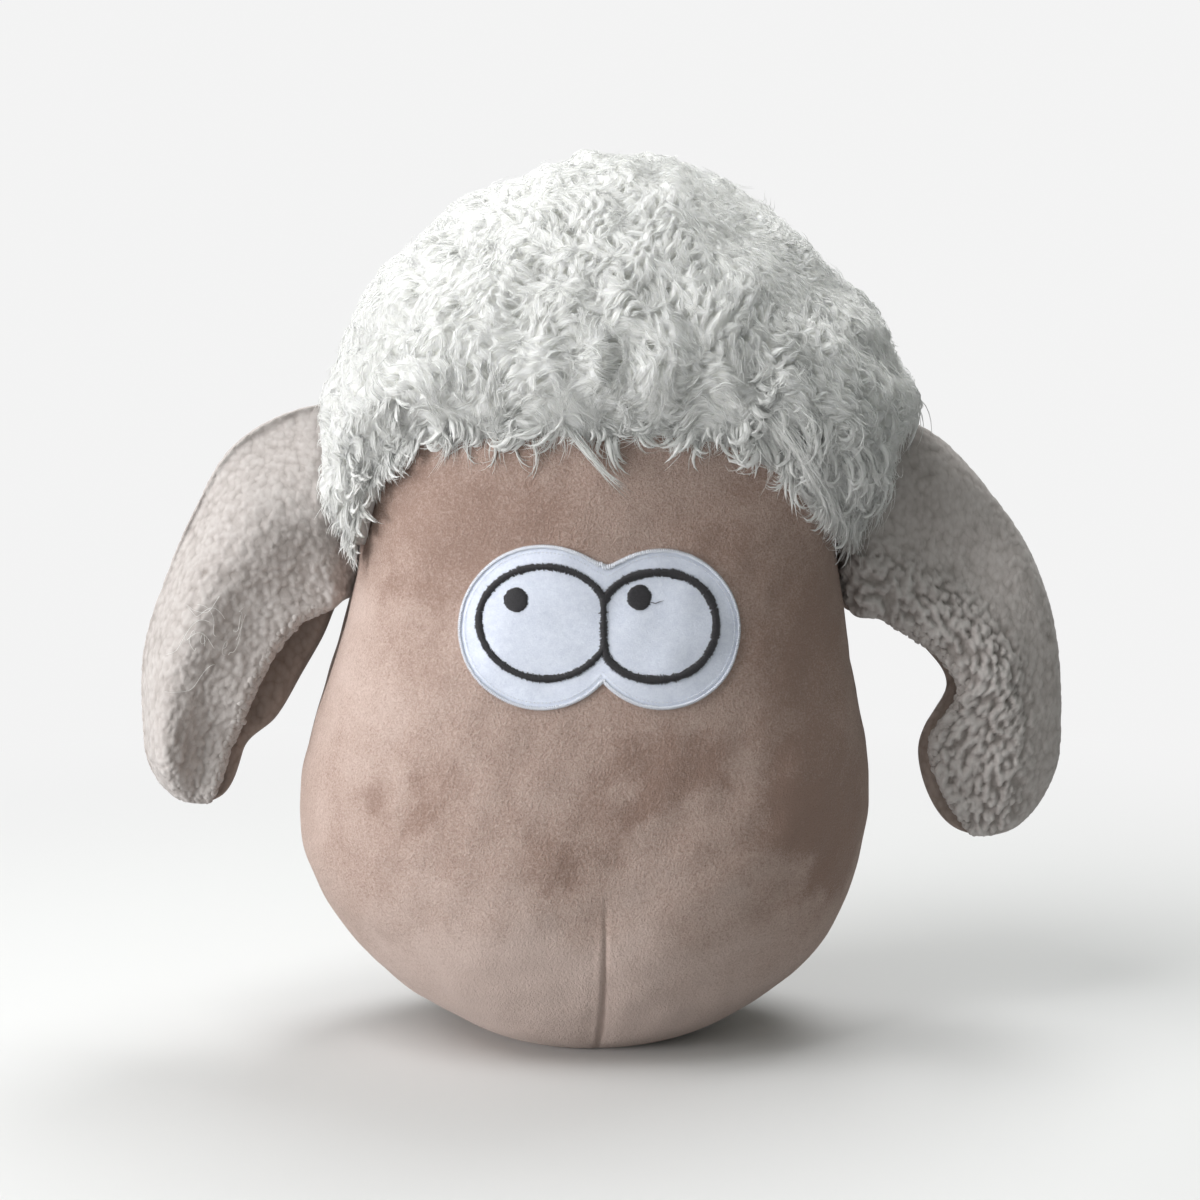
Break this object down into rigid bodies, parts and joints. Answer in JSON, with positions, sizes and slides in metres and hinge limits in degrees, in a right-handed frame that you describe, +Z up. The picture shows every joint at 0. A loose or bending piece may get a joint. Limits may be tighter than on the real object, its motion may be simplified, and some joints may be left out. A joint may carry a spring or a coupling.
{
  "type": "plush sheep head",
  "caption": "Stuffed sheep head cushion that stands by itself, with a curly wool cap, a felt eye patch with satin stitched eyes, and folded fleece ears that swing and lift.",
  "frame": {"origin": "on the table under the head, where its seams cross on the flat underside", "axes": "+Z up, -Y the way the face looks, +X to the right of someone who looks at the face"},
  "size_m": [0.4618, 0.2067, 0.439],
  "materials": {
    "face_plush": "short brown velvet plush with brushed patches",
    "back_plush": "short brown velvet plush",
    "wool": "long curly white pile",
    "filling": "loose polyester fibre",
    "felt": "matt felt",
    "white_thread": "satin stitches",
    "black_thread": "satin stitches with a slight sheen",
    "brown_thread": "twisted sewing thread",
    "fleece": "curly teddy fleece",
    "lining": "teddy fleece, shorter and darker"
  },
  "bodies": {
    "head": {"face_panel": "face_plush", "back_panel_left": "back_plush", "back_panel_right": "back_plush", "wool_front": "wool", "wool_rear": "wool", "filling": "filling", "eye_patch": "felt", "patch_border_stitch": "white_thread", "eye_outline_left": "black_thread", "eye_outline_right": "black_thread", "pupil_left": "black_thread", "pupil_right": "black_thread"},
    "ear_left_seam": {"ear_left_stitching": "brown_thread"},
    "ear_left": {"ear_left_fleece": "fleece", "ear_left_wadding": "filling", "ear_left_lining": "lining"},
    "ear_right_seam": {"ear_right_stitching": "brown_thread"},
    "ear_right": {"ear_right_fleece": "fleece", "ear_right_wadding": "filling", "ear_right_lining": "lining"}
  },
  "joints": [
    {"name": "ear_left_sweep", "type": "hinge", "parent": "head", "child": "ear_left_seam", "pos_m": [-0.10562, 0, 0.318], "axis": [0.1488, 0, 0.9889], "range_deg": [-18, 18], "stiffness_Nm_per_rad": 0.02},
    {"name": "ear_left_lift", "type": "hinge", "parent": "ear_left_seam", "child": "ear_left", "pos_m": [-0.10562, 0, 0.318], "axis": [0, 1, 0], "range_deg": [0, 40]},
    {"name": "ear_right_sweep", "type": "hinge", "parent": "head", "child": "ear_right_seam", "pos_m": [0.12419, 0, 0.318], "axis": [0.0657, 0, -0.9978], "range_deg": [-18, 18], "stiffness_Nm_per_rad": 0.02},
    {"name": "ear_right_lift", "type": "hinge", "parent": "ear_right_seam", "child": "ear_right", "pos_m": [0.12419, 0, 0.318], "axis": [0, -1, 0], "range_deg": [0, 40]}
  ]
}
